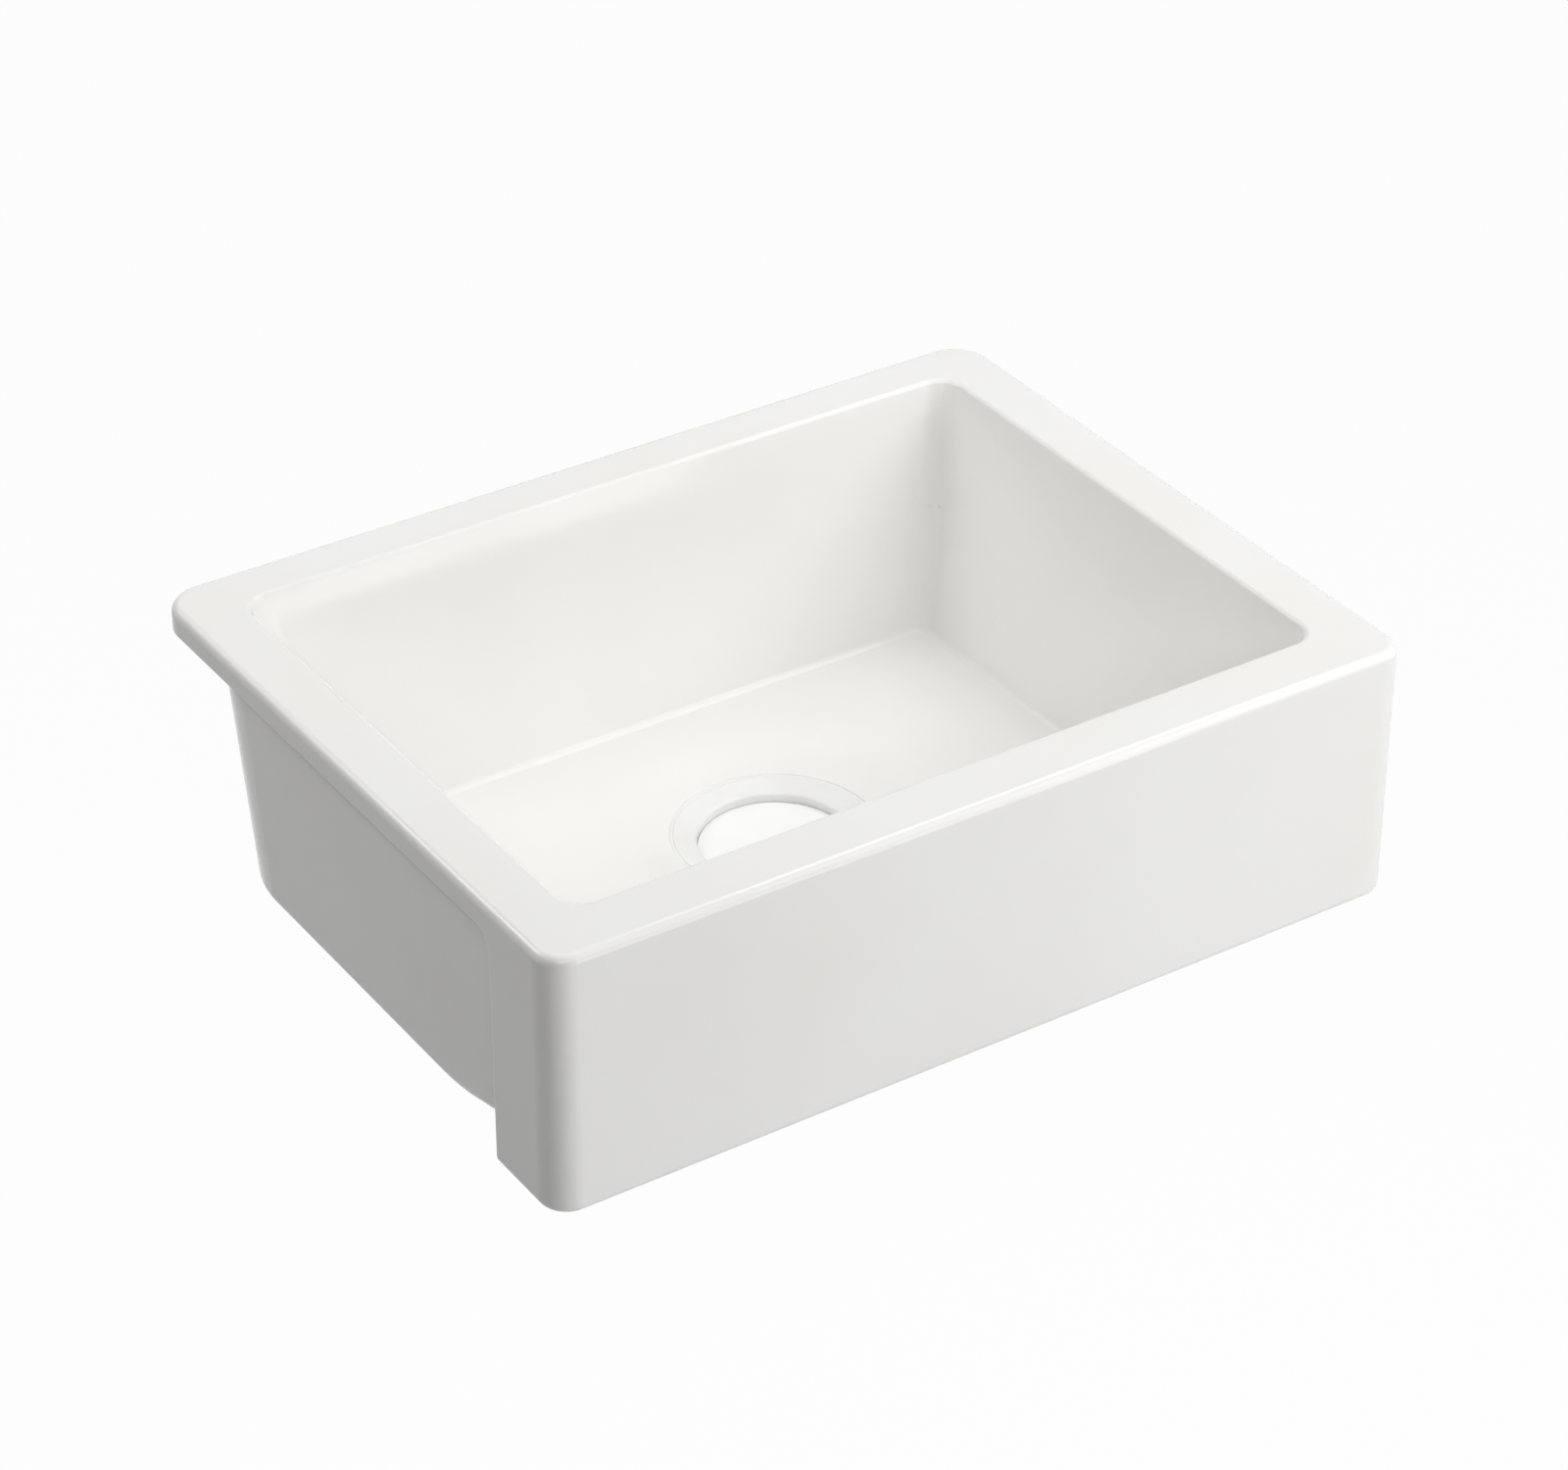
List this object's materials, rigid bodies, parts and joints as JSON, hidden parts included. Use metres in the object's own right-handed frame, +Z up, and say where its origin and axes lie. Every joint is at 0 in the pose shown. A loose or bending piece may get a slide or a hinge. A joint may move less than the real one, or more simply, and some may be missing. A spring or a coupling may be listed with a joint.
{
  "type": "kitchen sink",
  "caption": "White fireclay kitchen sink with a visible apron front, one bowl, and a basket strainer waste whose cover lifts off, whose basket lifts out and whose plug raises to drain.",
  "frame": {"origin": "on the axis of the waste, in the middle of the basin, at the height of the rim's underside", "axes": "+X along the apron to the right, +Y from the apron to the back, +Z up along the waste"},
  "size_m": [0.62, 0.478, 0.366],
  "materials": {
    "white_glaze": "gloss white glaze",
    "white_plastic": "gloss white moulded plastic",
    "white_silicone": "satin white silicone",
    "grey_plastic": "satin pale grey plastic",
    "black_rubber": "matte black rubber",
    "fibre": "red-brown vulcanised fibre",
    "steel": "brushed stainless steel"
  },
  "bodies": {
    "sink": {"fireclay_bowl": "white_glaze", "flange_seal": "white_silicone", "strainer_body": "white_plastic", "under_gasket": "black_rubber", "friction_ring": "fibre", "lock_nut": "grey_plastic", "outlet_washer": "black_rubber", "tailpiece": "grey_plastic", "coupling_nut": "grey_plastic"},
    "basket": {"basket_shell": "steel", "basket_bush": "white_plastic"},
    "plug": {"lift_stem": "steel", "lift_knob": "white_plastic", "stopper_plate": "steel", "stopper_seal": "black_rubber", "stem_screw": "steel"},
    "cover": {"drain_cover": "white_plastic"}
  },
  "joints": [
    {"name": "basket_lift", "type": "slide", "parent": "sink", "child": "basket", "axis": [0, 0, 1], "range_m": [0, 0.28]},
    {"name": "plug_raise", "type": "slide", "parent": "basket", "child": "plug", "axis": [0, 0, 1], "range_m": [0, 0.009]},
    {"name": "cover_lift", "type": "slide", "parent": "plug", "child": "cover", "axis": [0, 0, 1], "range_m": [0, 0.12]}
  ]
}
